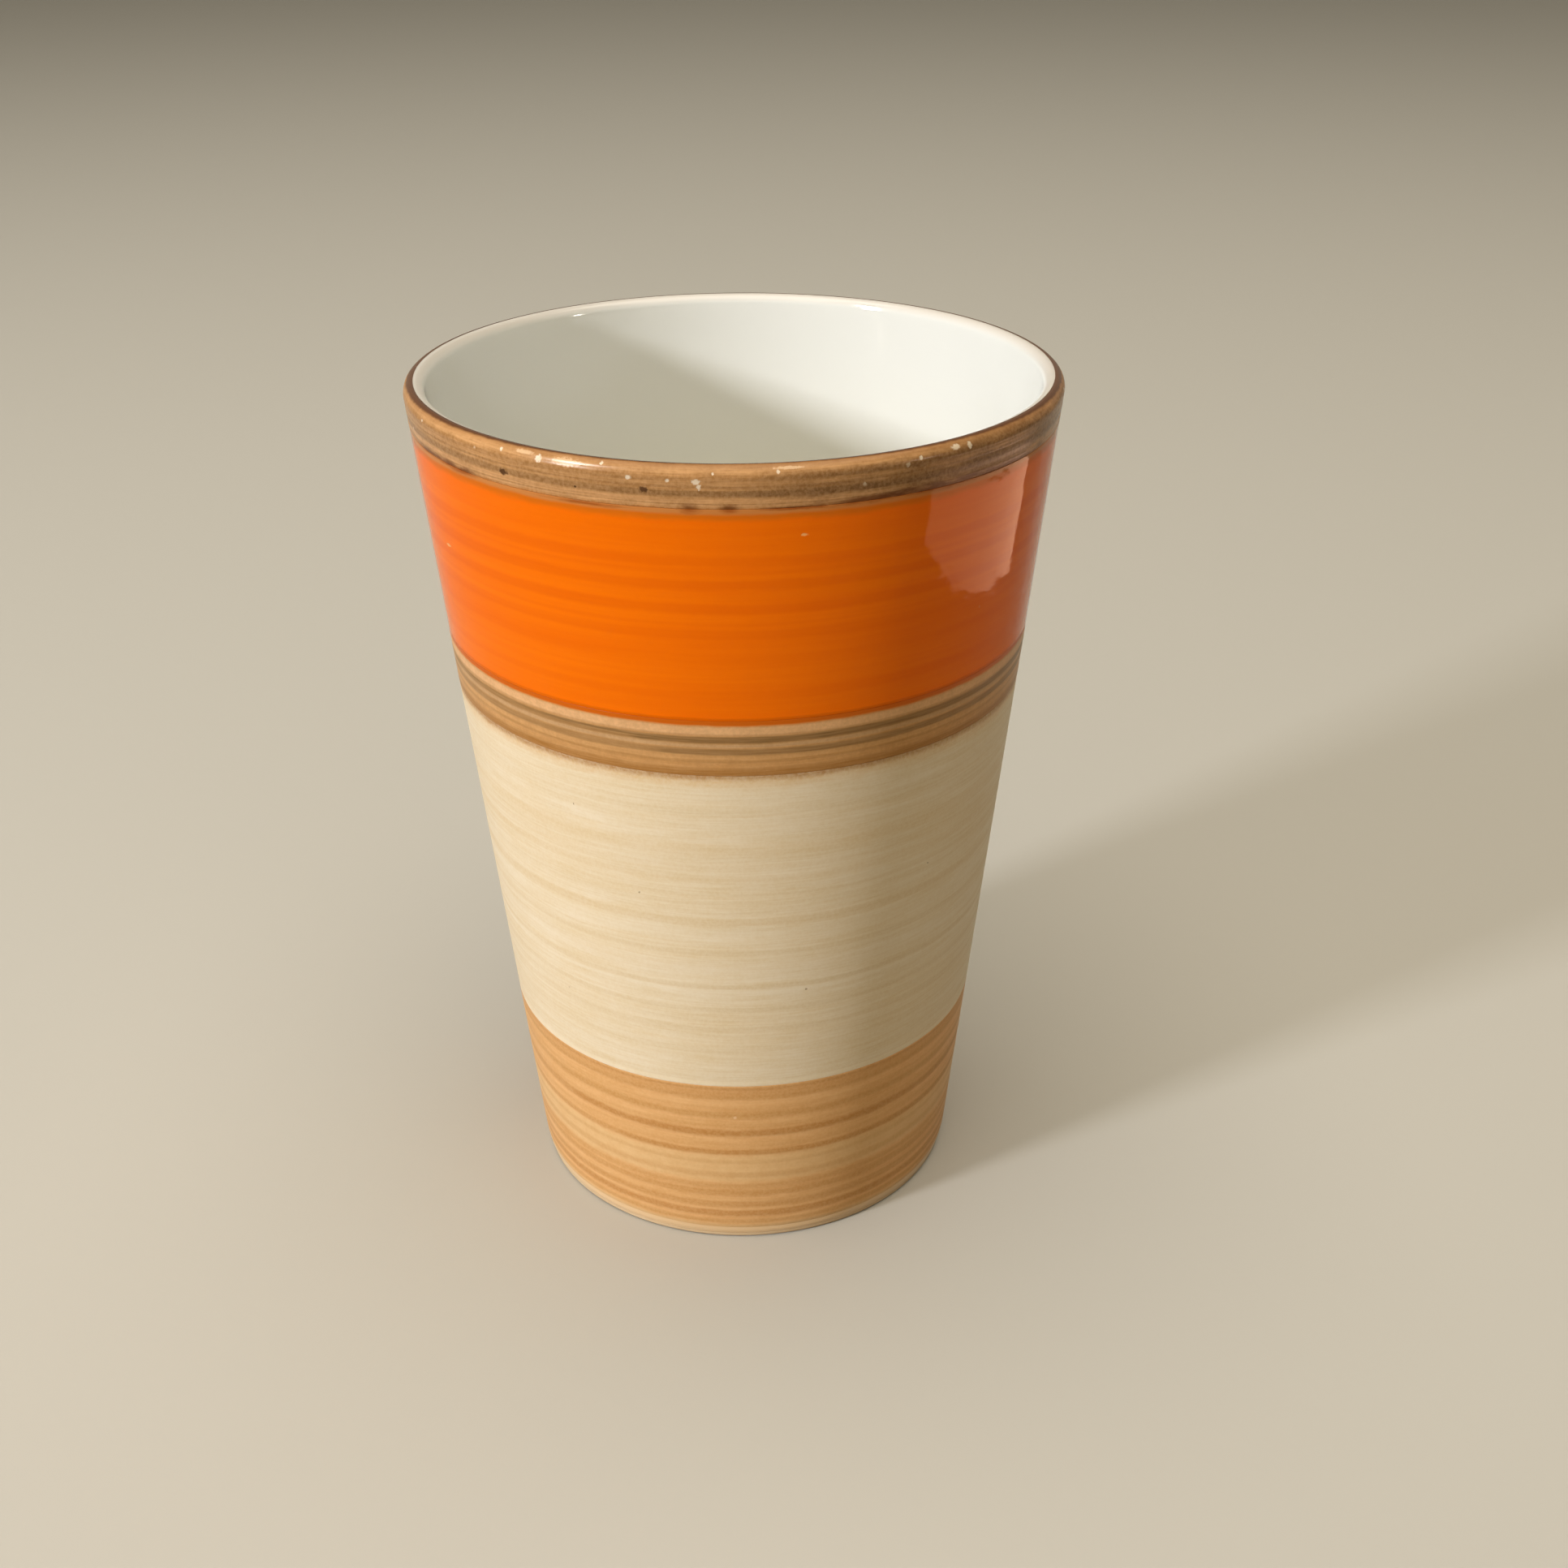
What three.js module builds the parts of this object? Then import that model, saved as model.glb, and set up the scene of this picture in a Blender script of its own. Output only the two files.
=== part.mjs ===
// A lemonade beaker: a straight-sided tapered cup of earthenware, slip-cast in one piece, with a full-round
// lip, and a foot ring round a shallow recess. It is built up in the order in which it is made. The clay body
// is dipped in white glaze and the foot ring wiped bare. Then five coats of enamel are banded round the
// outside on a wheel and fired on, and the top one is carried over the lip.
// Millimetres, +Z up. The origin is the centre of the foot ring, on the table.
import * as THREE from 'three';

// Finished outside, over the enamel. The two diameters are those of the straight wall, carried up to the top
// of the lip and down to the table.
const HEIGHT = 108;
const RIM_DIAMETER = 78.4;
const FOOT_DIAMETER = 56;

// Finished thickness: the wall's along the radius, and the base's over the recess
const WALL_AT_LIP = 2.6;
const WALL_AT_FLOOR = 3.5;
const BASE_THICKNESS = 4.5;

// Thickness of each coat, square to the surface that it lies on
const GLAZE_THICKNESS = 0.15;
const ENAMEL_THICKNESS = 0.12;

// Rounds of the inside and of the underside
const FLOOR_CORNER_RADIUS = 8;
const FOOT_RING_WIDTH = 5;
const FOOT_EDGE_RADIUS = 0.5;
const RING_INNER_EDGE_RADIUS = 0.6;
const RECESS_DEPTH = 2;
const RECESS_CORNER_RADIUS = 0.8;

// Widths of the bands of enamel by height, the first three from the top down and the last from the foot up.
// Cream fills what is left between them.
const RIM_BAND_WIDTH = 4.7;
const ORANGE_BAND_WIDTH = 25.2;
const LINED_BAND_WIDTH = 7.1;
const FOOT_BAND_WIDTH = 23.9;

// How far over the lip the rim band goes: 90 degrees is the top of the lip, 180 its inner side
const RIM_BAND_END = THREE.MathUtils.degToRad(98);

// Bare clay above the foot's rounded edge, and glaze above that which the foot band leaves uncovered
const BARE_CLAY_HEIGHT = 0.25;
const BARE_GLAZE_HEIGHT = 1.1;

// Facets round the axis, and in each round of the section
const FACETS_ROUND = 60;
const OUTER_LIP_STEPS = 5;
const OVER_LIP_STEPS = 1;
const BARE_LIP_STEPS = 4;
const FLOOR_CORNER_STEPS = 6;
const SMALL_ROUND_STEPS = 3;

const UP = Math.PI / 2;
const DOWN = -Math.PI / 2;

// A point of the section: its distance from the axis, and its height.
function point(radius, height) {
  return new THREE.Vector2(radius, height);
}

// A straight wall in section, through two points.
function straightWall(low, high) {
  const slope = (high.x - low.x) / (high.y - low.y);
  const radiusAt = (height) => low.x + slope * (height - low.y);
  return { slope, stretch: Math.hypot(1, slope), angle: Math.atan(slope), radiusAt };
}

function arc(centre, radius, fromAngle, toAngle, steps) {
  const points = [];
  for (let step = 0; step <= steps; step++) {
    const angle = fromAngle + ((toAngle - fromAngle) * step) / steps;
    points.push(point(centre.x + radius * Math.cos(angle), centre.y + radius * Math.sin(angle)));
  }
  return points;
}

// Everything below is set out from the surface of the glaze. A lift is how far a surface lies outside that
// one, square to it: the enamel is lifted, and the clay lies beneath.
const ON_GLAZE = 0;
const ON_ENAMEL = ENAMEL_THICKNESS;
const ON_CLAY = -GLAZE_THICKNESS;

const floorHeight = RECESS_DEPTH + BASE_THICKNESS;
const finishedWall = straightWall(point(FOOT_DIAMETER / 2, 0), point(RIM_DIAMETER / 2, HEIGHT));
const innerWall = straightWall(
  point(finishedWall.radiusAt(floorHeight) - WALL_AT_FLOOR, floorHeight),
  point(RIM_DIAMETER / 2 - WALL_AT_LIP, HEIGHT),
);

// The outer wall at a height, on the surface that has the given lift.
function outerPoint(height, lift) {
  const inset = ENAMEL_THICKNESS - lift;
  return point(
    finishedWall.radiusAt(height) - inset / finishedWall.stretch,
    height + (inset * finishedWall.slope) / finishedWall.stretch,
  );
}

// The lip is one round that runs into both walls without a corner.
const glazedHeight = HEIGHT - ENAMEL_THICKNESS;
const glazedOuterRadius = finishedWall.radiusAt(glazedHeight) - ENAMEL_THICKNESS * finishedWall.stretch;
const lipRadius =
  (glazedOuterRadius - innerWall.radiusAt(glazedHeight)) /
  (finishedWall.stretch + innerWall.stretch + finishedWall.slope - innerWall.slope);
const lipCentreHeight = glazedHeight - lipRadius;
const lipCentre = point(
  innerWall.radiusAt(lipCentreHeight) + lipRadius * innerWall.stretch,
  lipCentreHeight,
);

// The part of the lip that the rim band covers: up the outside, and over the top.
function bandedLip(lift) {
  const radius = lipRadius + lift;
  return [
    ...arc(lipCentre, radius, -finishedWall.angle, UP, OUTER_LIP_STEPS),
    ...arc(lipCentre, radius, UP, RIM_BAND_END, OVER_LIP_STEPS).slice(1),
  ];
}

// The rest of the lip, down to the inner wall.
function bareLip(lift) {
  const lipEnd = Math.PI - innerWall.angle;
  return arc(lipCentre, lipRadius + lift, RIM_BAND_END, lipEnd, BARE_LIP_STEPS).slice(1);
}

// The whole inside in section, from the outer edge of the lip to the middle of the floor.
function inside(lift) {
  const cornerHeight = floorHeight + FLOOR_CORNER_RADIUS;
  const cornerCentre = point(
    innerWall.radiusAt(cornerHeight) - FLOOR_CORNER_RADIUS * innerWall.stretch,
    cornerHeight,
  );
  return [
    ...bandedLip(lift),
    ...bareLip(lift),
    ...arc(cornerCentre, FLOOR_CORNER_RADIUS - lift, -innerWall.angle, DOWN, FLOOR_CORNER_STEPS),
    point(0, floorHeight + lift),
  ];
}

// The underside of the base, from the middle to where its corner round meets the foot ring.
const ringInside = FOOT_DIAMETER / 2 - FOOT_RING_WIDTH;

function recess(lift) {
  const cornerCentre = point(
    ringInside - GLAZE_THICKNESS - RECESS_CORNER_RADIUS,
    RECESS_DEPTH - RECESS_CORNER_RADIUS,
  );
  return [
    point(0, RECESS_DEPTH - lift),
    ...arc(cornerCentre, RECESS_CORNER_RADIUS - lift, UP, 0, SMALL_ROUND_STEPS),
  ];
}

// The foot ring of bare clay, from its inner edge across the face that it stands on to the outer wall.
function footRing() {
  const innerCentre = point(ringInside + RING_INNER_EDGE_RADIUS, RING_INNER_EDGE_RADIUS);
  const clayInset = (ENAMEL_THICKNESS + GLAZE_THICKNESS + FOOT_EDGE_RADIUS) * finishedWall.stretch;
  const outerCentre = point(finishedWall.radiusAt(FOOT_EDGE_RADIUS) - clayInset, FOOT_EDGE_RADIUS);
  return [
    ...arc(innerCentre, RING_INNER_EDGE_RADIUS, -Math.PI, DOWN, SMALL_ROUND_STEPS),
    ...arc(outerCentre, FOOT_EDGE_RADIUS, DOWN, -finishedWall.angle, SMALL_ROUND_STEPS),
  ];
}

// Heights at which the coats meet or stop
const footEdgeTop = FOOT_EDGE_RADIUS * (1 - Math.sin(finishedWall.angle));
const glazeLow = footEdgeTop + BARE_CLAY_HEIGHT;
const footBandLow = glazeLow + BARE_GLAZE_HEIGHT;
const footBandHigh = footBandLow + FOOT_BAND_WIDTH;
const rimBandLow = HEIGHT - RIM_BAND_WIDTH;
const orangeBandLow = rimBandLow - ORANGE_BAND_WIDTH;
const linedBandLow = orangeBandLow - LINED_BAND_WIDTH;

// The clay as it comes from the mould.
function clayBody() {
  return [...recess(ON_CLAY), ...footRing(), outerPoint(glazeLow, ON_CLAY), ...inside(ON_CLAY)];
}

// One coat of glaze from just above the foot's edge, over the lip and down across the floor.
function whiteGlaze() {
  const enamelEdges = [footBandLow, footBandHigh, linedBandLow, orangeBandLow, rimBandLow];
  return [
    ...inside(ON_CLAY).reverse(),
    outerPoint(glazeLow, ON_CLAY),
    outerPoint(glazeLow, ON_GLAZE),
    ...enamelEdges.map((height) => outerPoint(height, ON_GLAZE)),
    ...inside(ON_GLAZE),
  ];
}

function recessGlaze() {
  return [...recess(ON_GLAZE), ...recess(ON_CLAY).reverse()];
}

// A band of enamel round the straight wall.
function enamelBand(low, high) {
  return [
    outerPoint(low, ON_GLAZE),
    outerPoint(low, ON_ENAMEL),
    outerPoint(high, ON_ENAMEL),
    outerPoint(high, ON_GLAZE),
    outerPoint(low, ON_GLAZE),
  ];
}

function rimBand() {
  return [
    outerPoint(rimBandLow, ON_GLAZE),
    outerPoint(rimBandLow, ON_ENAMEL),
    ...bandedLip(ON_ENAMEL),
    ...bandedLip(ON_GLAZE).reverse(),
    outerPoint(rimBandLow, ON_GLAZE),
  ];
}

const beaker = new THREE.Group();

// Revolves a section round the Z axis. It runs outwards along the bottom and inwards along the top.
function addPart(name, section, color, roughness) {
  const geometry = new THREE.LatheGeometry(section, FACETS_ROUND).rotateX(Math.PI / 2);
  const material = new THREE.MeshStandardMaterial({ color, roughness, metalness: 0 });
  const part = new THREE.Mesh(geometry, material);
  part.name = name;
  beaker.add(part);
}

addPart('clay_body', clayBody(), 0xe2c8a4, 0.75);
addPart('white_glaze', whiteGlaze(), 0xe9e8df, 0.1);
addPart('recess_glaze', recessGlaze(), 0xe6e2d2, 0.15);
addPart('rim_band', rimBand(), 0xa1784a, 0.3);
addPart('orange_band', enamelBand(orangeBandLow, rimBandLow), 0xf06a08, 0.18);
addPart('lined_band', enamelBand(linedBandLow, orangeBandLow), 0xb08a5b, 0.35);
addPart('cream_band', enamelBand(footBandHigh, linedBandLow), 0xe8d2a6, 0.42);
addPart('foot_band', enamelBand(footBandLow, footBandHigh), 0xdba765, 0.42);

export default beaker;
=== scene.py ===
# The looks of a lemonade beaker of glazed earthenware, banded outside in coloured enamels.
# Every coat is turned from its own section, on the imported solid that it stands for. Objects are in metres,
# +Z up. Sections and painted lines are set out in millimetres, and MM brings them to metres.
# An angle round the beaker runs from -Y, the viewer's side, towards +X.
import math
from dataclasses import dataclass

import bmesh
import bpy
from mathutils import Matrix, Vector, noise


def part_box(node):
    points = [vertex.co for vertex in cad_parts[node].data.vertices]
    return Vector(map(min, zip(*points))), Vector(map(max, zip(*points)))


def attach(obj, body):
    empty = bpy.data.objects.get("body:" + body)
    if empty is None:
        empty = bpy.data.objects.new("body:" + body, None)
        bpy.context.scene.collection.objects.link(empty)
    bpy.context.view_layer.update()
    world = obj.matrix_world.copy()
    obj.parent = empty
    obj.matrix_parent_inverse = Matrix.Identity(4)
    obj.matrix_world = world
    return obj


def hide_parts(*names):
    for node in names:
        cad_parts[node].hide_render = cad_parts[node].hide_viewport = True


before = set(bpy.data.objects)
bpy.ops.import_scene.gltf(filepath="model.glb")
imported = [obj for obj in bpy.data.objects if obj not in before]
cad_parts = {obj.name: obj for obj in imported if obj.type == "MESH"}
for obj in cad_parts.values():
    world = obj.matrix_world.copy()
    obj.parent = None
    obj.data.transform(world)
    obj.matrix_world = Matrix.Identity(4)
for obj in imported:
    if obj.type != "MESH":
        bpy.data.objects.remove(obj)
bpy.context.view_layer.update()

MM = 0.001

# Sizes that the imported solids' boxes don't give
WALL_AT_LIP = 2.6
WALL_AT_FLOOR = 3.5
BASE_THICKNESS = 4.5
RECESS_DEPTH = 2.0
GLAZE_THICKNESS = 0.15
ENAMEL_THICKNESS = 0.12
FLOOR_CORNER_RADIUS = 8.0
FOOT_RING_WIDTH = 5.0
FOOT_EDGE_RADIUS = 0.5
RING_INNER_EDGE_RADIUS = 0.6
RECESS_CORNER_RADIUS = 0.8

# Where the rim's paint ends over the lip, in degrees of the lip's round: 90 is its top, 180 its inner side.
# Its steepness is how soon it draws back behind, and its seed is where its straying begins.
PAINT_END = 98
PAINT_END_BEHIND = 81
PAINT_END_STEEPNESS = 0.8
PAINT_END_STRAY = 2.5
PAINT_END_SEED = 1.3

# How finely the coats are turned: steps of the spin, cuts between them, and millimetres between rings
SPIN_STEPS = 90
CUTS_BETWEEN_STEPS = 3
FAR_APART = 12.0
ON_INSIDE = 1.8
ON_PLAIN_BAND = 0.9
ON_LINED_BAND = 0.12
ON_FOOT = 0.2
LIP_STEPS = 24
CORNER_STEPS = 14
SMALL_ROUND_STEPS = 6

# What counts as the same place: two points or two rings in metres, a corner in mm, an angle in radians
SAME_POINT = 1e-7
SAME_RING = 1e-9
SAME_CORNER = 0.001
SAME_ANGLE = 0.001

# How the coats' edges draw in where two bands meet, and thin out where a coat ends by itself
EDGE_SOFTENING = 0.045
EDGE_RING = 0.15
FEATHER = 0.55
FEATHER_STEPS = 6
THINNEST_SHARE = 0.15

# How far the surfaces depart from true: the bands' edges up and down the wall, and the coats in thickness
BAND_EDGE_WANDER = 0.12
UNEVEN_DEPTH = 0.03
UNEVEN_LENGTH = 14.0
TALLEST_RIDGE = 0.03


# Section of the beaker

def straight_wall(low, high):
    """The slope of a wall in section, and its radius at any height, from two points on it."""
    slope = (high[0] - low[0]) / (high[1] - low[1])
    return slope, lambda height: low[0] + slope * (height - low[1])


def low_edge(node):
    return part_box(node)[0].z / MM


def widest(node):
    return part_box(node)[1].x / MM


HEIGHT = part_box("rim_band")[1].z / MM
RIM_LOW = low_edge("rim_band")
ORANGE_LOW = low_edge("orange_band")
LINED_LOW = low_edge("lined_band")
CREAM_LOW = low_edge("cream_band")
FOOT_LOW = low_edge("foot_band")
GLAZE_LOW = low_edge("white_glaze")
FLOOR_HEIGHT = RECESS_DEPTH + BASE_THICKNESS

outer_slope, outer_radius = straight_wall((widest("foot_band"), CREAM_LOW), (widest("orange_band"), RIM_LOW))
inner_slope, inner_radius = straight_wall(
    (outer_radius(FLOOR_HEIGHT) - WALL_AT_FLOOR, FLOOR_HEIGHT),
    (outer_radius(HEIGHT) - WALL_AT_LIP, HEIGHT),
)
outer_angle, inner_angle = math.atan(outer_slope), math.atan(inner_slope)
outer_stretch, inner_stretch = math.hypot(1, outer_slope), math.hypot(1, inner_slope)

# A lift is how far a surface lies outside the glaze's, square to it
ON_GLAZE = 0.0
ON_ENAMEL = ENAMEL_THICKNESS
ON_CLAY = -GLAZE_THICKNESS


def on_circle(centre, radius, angle):
    return centre[0] + radius * math.cos(angle), centre[1] + radius * math.sin(angle)


def arc(centre, radius, start, end, steps):
    """Points along a round of the section, between two angles."""
    angles = [start + (end - start) * step / steps for step in range(steps + 1)]
    return [on_circle(centre, radius, angle) for angle in angles]


def between(start, end, spacing):
    """Points on the straight line between two others, without them."""
    steps = max(1, round(math.dist(start, end) / spacing))
    shares = [step / steps for step in range(1, steps)]
    return [(start[0] + (end[0] - start[0]) * s, start[1] + (end[1] - start[1]) * s) for s in shares]


def outer_point(height, lift):
    """The point of the outer wall at a height, on the surface that has the given lift."""
    inset = ENAMEL_THICKNESS - lift
    return outer_radius(height) - inset / outer_stretch, height + inset * outer_slope / outer_stretch


def outer_run(low, high, lift, spacing):
    """Points up the outer wall, with one close to each end to hold the edge."""
    start, end = outer_point(low, lift), outer_point(high, lift)
    near_start, near_end = outer_point(low + EDGE_RING, lift), outer_point(high - EDGE_RING, lift)
    return [start, near_start, *between(near_start, near_end, spacing), near_end, end]


# The lip is the round that touches both walls of the glazed beaker and is as high as it
glazed_height = HEIGHT - ENAMEL_THICKNESS
lip_radius = (
    outer_radius(glazed_height) - ENAMEL_THICKNESS * outer_stretch - inner_radius(glazed_height)
) / (outer_stretch + inner_stretch + outer_slope - inner_slope)
lip_height = glazed_height - lip_radius
lip_centre = (inner_radius(lip_height) + lip_radius * inner_stretch, lip_height)
LIP_START, LIP_END = -outer_angle, math.pi - inner_angle


def lip(lift, end=LIP_END):
    """The lip's round, from the outside over the top."""
    return arc(lip_centre, lip_radius + lift, LIP_START, end, LIP_STEPS)


def inside(lift, spacing, corner_steps):
    """The inside below the lip, down to the middle of the floor."""
    corner_height = FLOOR_HEIGHT + FLOOR_CORNER_RADIUS
    corner_centre = (inner_radius(corner_height) - FLOOR_CORNER_RADIUS * inner_stretch, corner_height)
    corner = arc(corner_centre, FLOOR_CORNER_RADIUS - lift, -inner_angle, -math.pi / 2, corner_steps)
    wall = between(on_circle(lip_centre, lip_radius + lift, LIP_END), corner[0], spacing)
    middle = (0.0, FLOOR_HEIGHT + lift)
    return [*wall, *corner, *between(corner[-1], middle, spacing), middle]


ring_inside = outer_radius(0) - FOOT_RING_WIDTH


def recess(lift):
    """The underside from the middle to where the recess's corner meets the foot ring."""
    centre_out = ring_inside - GLAZE_THICKNESS - RECESS_CORNER_RADIUS
    corner_centre = (centre_out, RECESS_DEPTH - RECESS_CORNER_RADIUS)
    corner = arc(corner_centre, RECESS_CORNER_RADIUS - lift, math.pi / 2, 0, SMALL_ROUND_STEPS)
    middle = (0.0, RECESS_DEPTH - lift)
    return [middle, *between(middle, corner[0], ON_INSIDE), *corner]


def foot_ring():
    """The bare ring that the beaker stands on, from its inner edge to the outer wall."""
    inner_centre = (ring_inside + RING_INNER_EDGE_RADIUS, RING_INNER_EDGE_RADIUS)
    inner_edge = arc(inner_centre, RING_INNER_EDGE_RADIUS, -math.pi, -math.pi / 2, SMALL_ROUND_STEPS)
    clay_inset = (ENAMEL_THICKNESS + GLAZE_THICKNESS + FOOT_EDGE_RADIUS) * outer_stretch
    outer_centre = (outer_radius(FOOT_EDGE_RADIUS) - clay_inset, FOOT_EDGE_RADIUS)
    outer_edge = arc(outer_centre, FOOT_EDGE_RADIUS, -math.pi / 2, -outer_angle, SMALL_ROUND_STEPS)
    return [*inner_edge, *between(inner_edge[-1], outer_edge[0], ON_PLAIN_BAND), *outer_edge]


# Painted lines

@dataclass
class Line:
    """A line or soft stripe that the brush left as the beaker turned under it.

    Its middle strays by wander. It starts at an angle, and has lost a share, fade, of its strength when it
    comes round to its start again. A line with a ridge stands proud by that much.
    """

    height: float
    half: float
    soft: float
    colour: tuple
    strength: float = 0.8
    ridge: float = 0.012
    wander: float = 0.08
    seed: float = None
    start: float = 150.0
    fade: float = 0.3

    def __post_init__(self):
        if self.seed is None:
            self.seed = self.height


# The share of a turn over which a line comes in where it starts
COMES_IN_OVER = 0.012

# The waves that the brush's straying is made of: how often each goes round, how often it takes the seed in,
# and its share
WAVES = [(1, 1, 1.0), (2, 2, 0.5), (5, 3, 0.25)]
ALL_WAVES = sum(share for _, _, share in WAVES)


def strayed(angle, seed):
    """How far the brush has strayed at an angle round the beaker, from about -1 to 1."""
    waves = [share * math.sin(turns * angle + seeds * seed) for turns, seeds, share in WAVES]
    return sum(waves) / ALL_WAVES


def smooth(share):
    share = min(1, max(0, share))
    return share * share * (3 - 2 * share)


def at_edge(edge):
    """What makes a line follow the edge between two bands."""
    return {"seed": edge, "wander": BAND_EDGE_WANDER}


RIM_LINES = [
    # The first line is a painted sheen, a paler stripe over the lip's top where light catches it
    Line(107.55, 0.20, 0.36, (238, 186, 128), 0.60, ridge=0.0),
    Line(106.70, 0.10, 0.36, (160, 112, 62), 0.50),
    Line(106.15, 0.06, 0.14, (208, 156, 102), 0.55),
    Line(105.82, 0.05, 0.12, (146, 102, 58), 0.65),
    Line(105.45, 0.05, 0.16, (196, 146, 92), 0.50),
    Line(105.10, 0.20, 0.24, (124, 88, 50), 0.85, ridge=0.02, start=-22, fade=0.25),
    Line(104.78, 0.06, 0.16, (128, 90, 50), 0.80, start=10, fade=0.6),
    Line(104.05, 0.32, 0.30, (224, 168, 112), 0.90, ridge=0.0),
    Line(103.90, 0.02, 0.10, (152, 104, 56), 0.60),
    Line(103.30, 0.05, 0.34, (196, 120, 52), 0.85, ridge=0.0, **at_edge(RIM_LOW)),
]

ORANGE_LINES = [
    Line(102.85, 0.35, 0.85, (206, 106, 18), 0.90, ridge=0.0, **at_edge(RIM_LOW)),
    Line(103.3, 0.34, 0.46, (202, 134, 72), 0.98, ridge=0.0, **at_edge(RIM_LOW)),
    Line(97.4, 0.30, 0.55, (232, 90, 0), 0.35),
    Line(96.1, 0.05, 0.30, (238, 98, 0), 0.20),
    Line(94.6, 0.30, 0.60, (228, 86, 0), 0.35),
    Line(91.8, 0.30, 0.55, (230, 88, 0), 0.35),
    Line(90.0, 0.05, 0.30, (238, 98, 0), 0.20),
    Line(88.7, 0.25, 0.60, (234, 94, 0), 0.25),
    Line(85.8, 0.20, 0.60, (238, 98, 0), 0.20),
    Line(81.4, 0.20, 0.60, (238, 98, 0), 0.20),
    Line(78.20, 0.10, 0.30, (206, 88, 0), 0.65, ridge=0.02, **at_edge(ORANGE_LOW)),
]

LINED_LINES = [
    Line(76.80, 0.30, 0.50, (246, 192, 138), 0.95, ridge=0.0),
    Line(76.25, 0.03, 0.20, (190, 142, 94), 0.55),
    Line(75.90, 0.06, 0.22, (128, 96, 58), 0.85, ridge=0.02, start=-40, fade=0.5),
    Line(75.60, 0.14, 0.40, (124, 92, 52), 0.98, ridge=0.028, start=-21.6, fade=0.40),
    Line(74.98, 0.10, 0.30, (202, 166, 124), 0.75, ridge=0.0),
    Line(74.22, 0.24, 0.36, (142, 106, 64), 0.92, ridge=0.024, start=-17, fade=0.35),
    Line(73.48, 0.15, 0.30, (220, 166, 106), 0.70, ridge=0.0),
    Line(72.95, 0.05, 0.22, (182, 130, 72), 0.60),
    Line(72.45, 0.12, 0.30, (212, 154, 92), 0.60, ridge=0.0),
    Line(72.00, 0.02, 0.25, (184, 130, 72), 0.50),
    Line(71.32, 0.26, 0.60, (162, 106, 42), 0.98, ridge=0.02, **at_edge(LINED_LOW)),
]
ORANGE_BLEED = [
    Line(77.95, 0.22, 0.50, (228, 124, 30), 0.95, ridge=0.0, **at_edge(ORANGE_LOW)),
    Line(77.95, 0.26, 0.26, (206, 92, 0), 1.00, ridge=0.0, **at_edge(ORANGE_LOW)),
]

CREAM_LINES = [
    Line(70.95, 0.35, 1.80, (228, 188, 134), 0.90, ridge=0.0, **at_edge(LINED_LOW)),
    Line(70.95, 0.12, 0.75, (176, 120, 58), 0.98, ridge=0.0, **at_edge(LINED_LOW)),
    Line(66.3, 0.15, 0.60, (230, 205, 164), 0.30),
    Line(61.0, 0.35, 0.90, (230, 200, 152), 0.40),
    Line(58.6, 0.10, 0.50, (230, 202, 158), 0.30),
    Line(56.9, 0.20, 0.50, (228, 198, 150), 0.45),
    Line(54.8, 0.05, 0.25, (228, 200, 154), 0.35, start=-40),
    Line(53.4, 0.10, 0.40, (230, 204, 160), 0.30),
    Line(50.8, 0.30, 0.50, (226, 196, 148), 0.55, start=-75),
    Line(48.9, 0.40, 0.70, (246, 228, 198), 0.40, ridge=0.0),
    Line(46.3, 0.18, 0.45, (226, 198, 152), 0.50),
    Line(43.9, 0.40, 0.90, (246, 228, 200), 0.35, ridge=0.0),
    Line(41.3, 0.14, 0.35, (224, 196, 150), 0.55, start=-30),
    Line(40.5, 0.10, 0.40, (248, 231, 204), 0.45, ridge=0.0),
    Line(37.8, 0.14, 0.40, (224, 196, 150), 0.50),
    Line(36.2, 0.04, 0.25, (228, 202, 160), 0.35, start=60),
    Line(34.7, 0.15, 0.45, (226, 198, 154), 0.40),
    Line(31.5, 0.15, 0.60, (230, 204, 162), 0.30),
    Line(26.15, 0.16, 0.30, (250, 230, 196), 0.75, ridge=0.0, **at_edge(CREAM_LOW)),
]

FOOT_LINES = [
    Line(12.2, 1.70, 1.10, (238, 198, 142), 0.80, ridge=0.0),
    Line(24.7, 0.65, 0.60, (208, 150, 88), 0.75, ridge=0.0, **at_edge(CREAM_LOW)),
    Line(25.30, 0.05, 0.30, (196, 138, 78), 0.50, **at_edge(CREAM_LOW)),
    Line(23.95, 0.10, 0.50, (202, 144, 80), 0.55),
    Line(22.2, 0.10, 0.60, (216, 158, 94), 0.40),
    Line(21.1, 0.16, 0.70, (202, 144, 78), 0.70, start=-60),
    Line(19.2, 0.12, 0.60, (216, 158, 94), 0.50),
    Line(18.20, 0.22, 0.62, (192, 130, 64), 0.85, ridge=0.02, start=-50),
    Line(16.2, 0.20, 0.70, (220, 162, 98), 0.40),
    Line(14.90, 0.18, 0.50, (194, 134, 68), 0.80, ridge=0.02, start=-35),
    Line(13.2, 0.08, 0.45, (216, 166, 106), 0.50),
    Line(11.1, 0.15, 0.60, (214, 162, 102), 0.65),
    Line(9.1, 0.15, 0.60, (206, 148, 84), 0.60),
    Line(7.9, 0.22, 0.60, (202, 142, 76), 0.70),
    Line(6.0, 0.20, 0.60, (200, 140, 76), 0.65),
    Line(4.4, 0.24, 0.55, (192, 128, 62), 0.80, ridge=0.02),
    Line(2.95, 0.10, 0.45, (204, 146, 82), 0.65),
    Line(1.8, 0.20, 0.70, (238, 194, 138), 0.95, ridge=0.0, **at_edge(FOOT_LOW)),
]


# Meshes

def settling(points, share=1.0):
    """Marks section points as ones that settle() may sink, by a share of what the coat sinks elsewhere."""
    return [(*point, share) for point in points]


def still(points):
    return settling(points, 0.0)


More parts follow.
